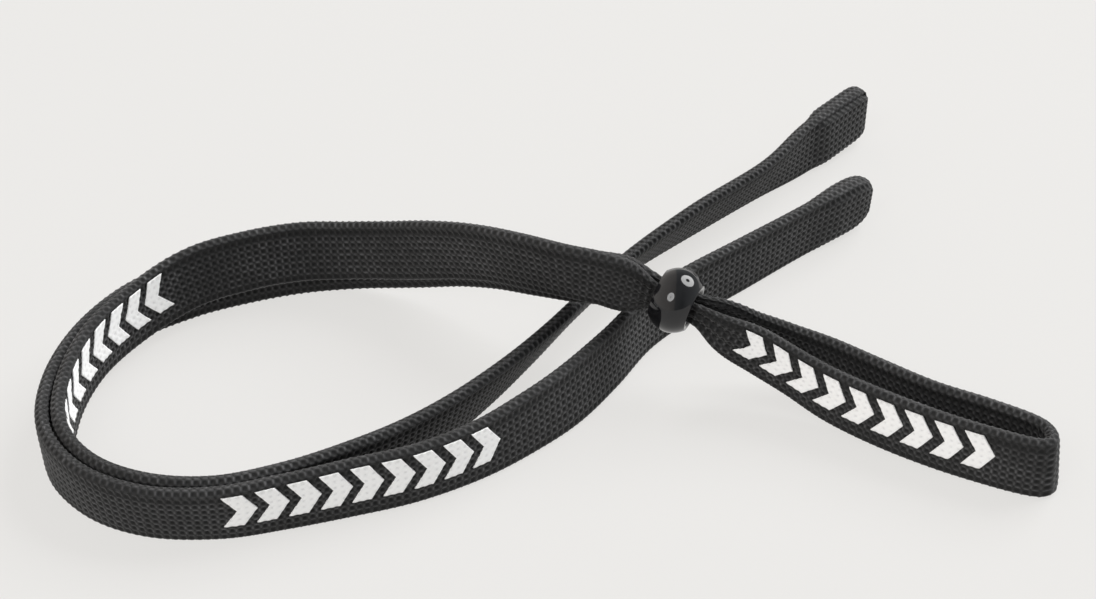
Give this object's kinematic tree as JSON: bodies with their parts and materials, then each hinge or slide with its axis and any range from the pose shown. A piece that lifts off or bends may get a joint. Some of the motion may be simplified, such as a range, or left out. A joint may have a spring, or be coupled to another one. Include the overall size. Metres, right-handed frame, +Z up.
{
  "type": "eyewear retainer strap",
  "caption": "Flat knitted eyewear retainer strap, doubled through a glossy sliding bead, with a temple sleeve at each end and printed chevrons.",
  "frame": {"origin": "middle of the footprint, on the surface that the strap stands on", "axes": "+X from the large loop towards the small loop, +Y away from the side that carries the front print, +Z up"},
  "size_m": [0.1428, 0.1008, 0.0223],
  "materials": {
    "strap_knit": "matt charcoal-black tubular polyester knit",
    "bead_plastic": "high-gloss black",
    "print_ink": "satin white transfer print"
  },
  "bodies": {
    "strap": {"small_loop": "strap_knit", "gather_inner": "strap_knit", "gather_outer": "strap_knit", "inner_strand_back": "strap_knit", "inner_strand_bend": "strap_knit", "inner_strand_tail": "strap_knit", "outer_strand_back": "strap_knit", "outer_strand_bend": "strap_knit", "outer_strand_tail": "strap_knit", "temple_sleeve_inner": "strap_knit", "temple_sleeve_outer": "strap_knit", "print_small_loop": "print_ink", "print_front": "print_ink", "print_bend": "print_ink"},
    "bead": {"bead": "bead_plastic"}
  },
  "joints": [
    {"name": "bead_slide", "type": "slide", "parent": "strap", "child": "bead", "axis": [0.8936, -0.3978, -0.2079], "range_m": [-0.012, 0.008], "deforming": ["gather_inner", "gather_outer"]}
  ]
}
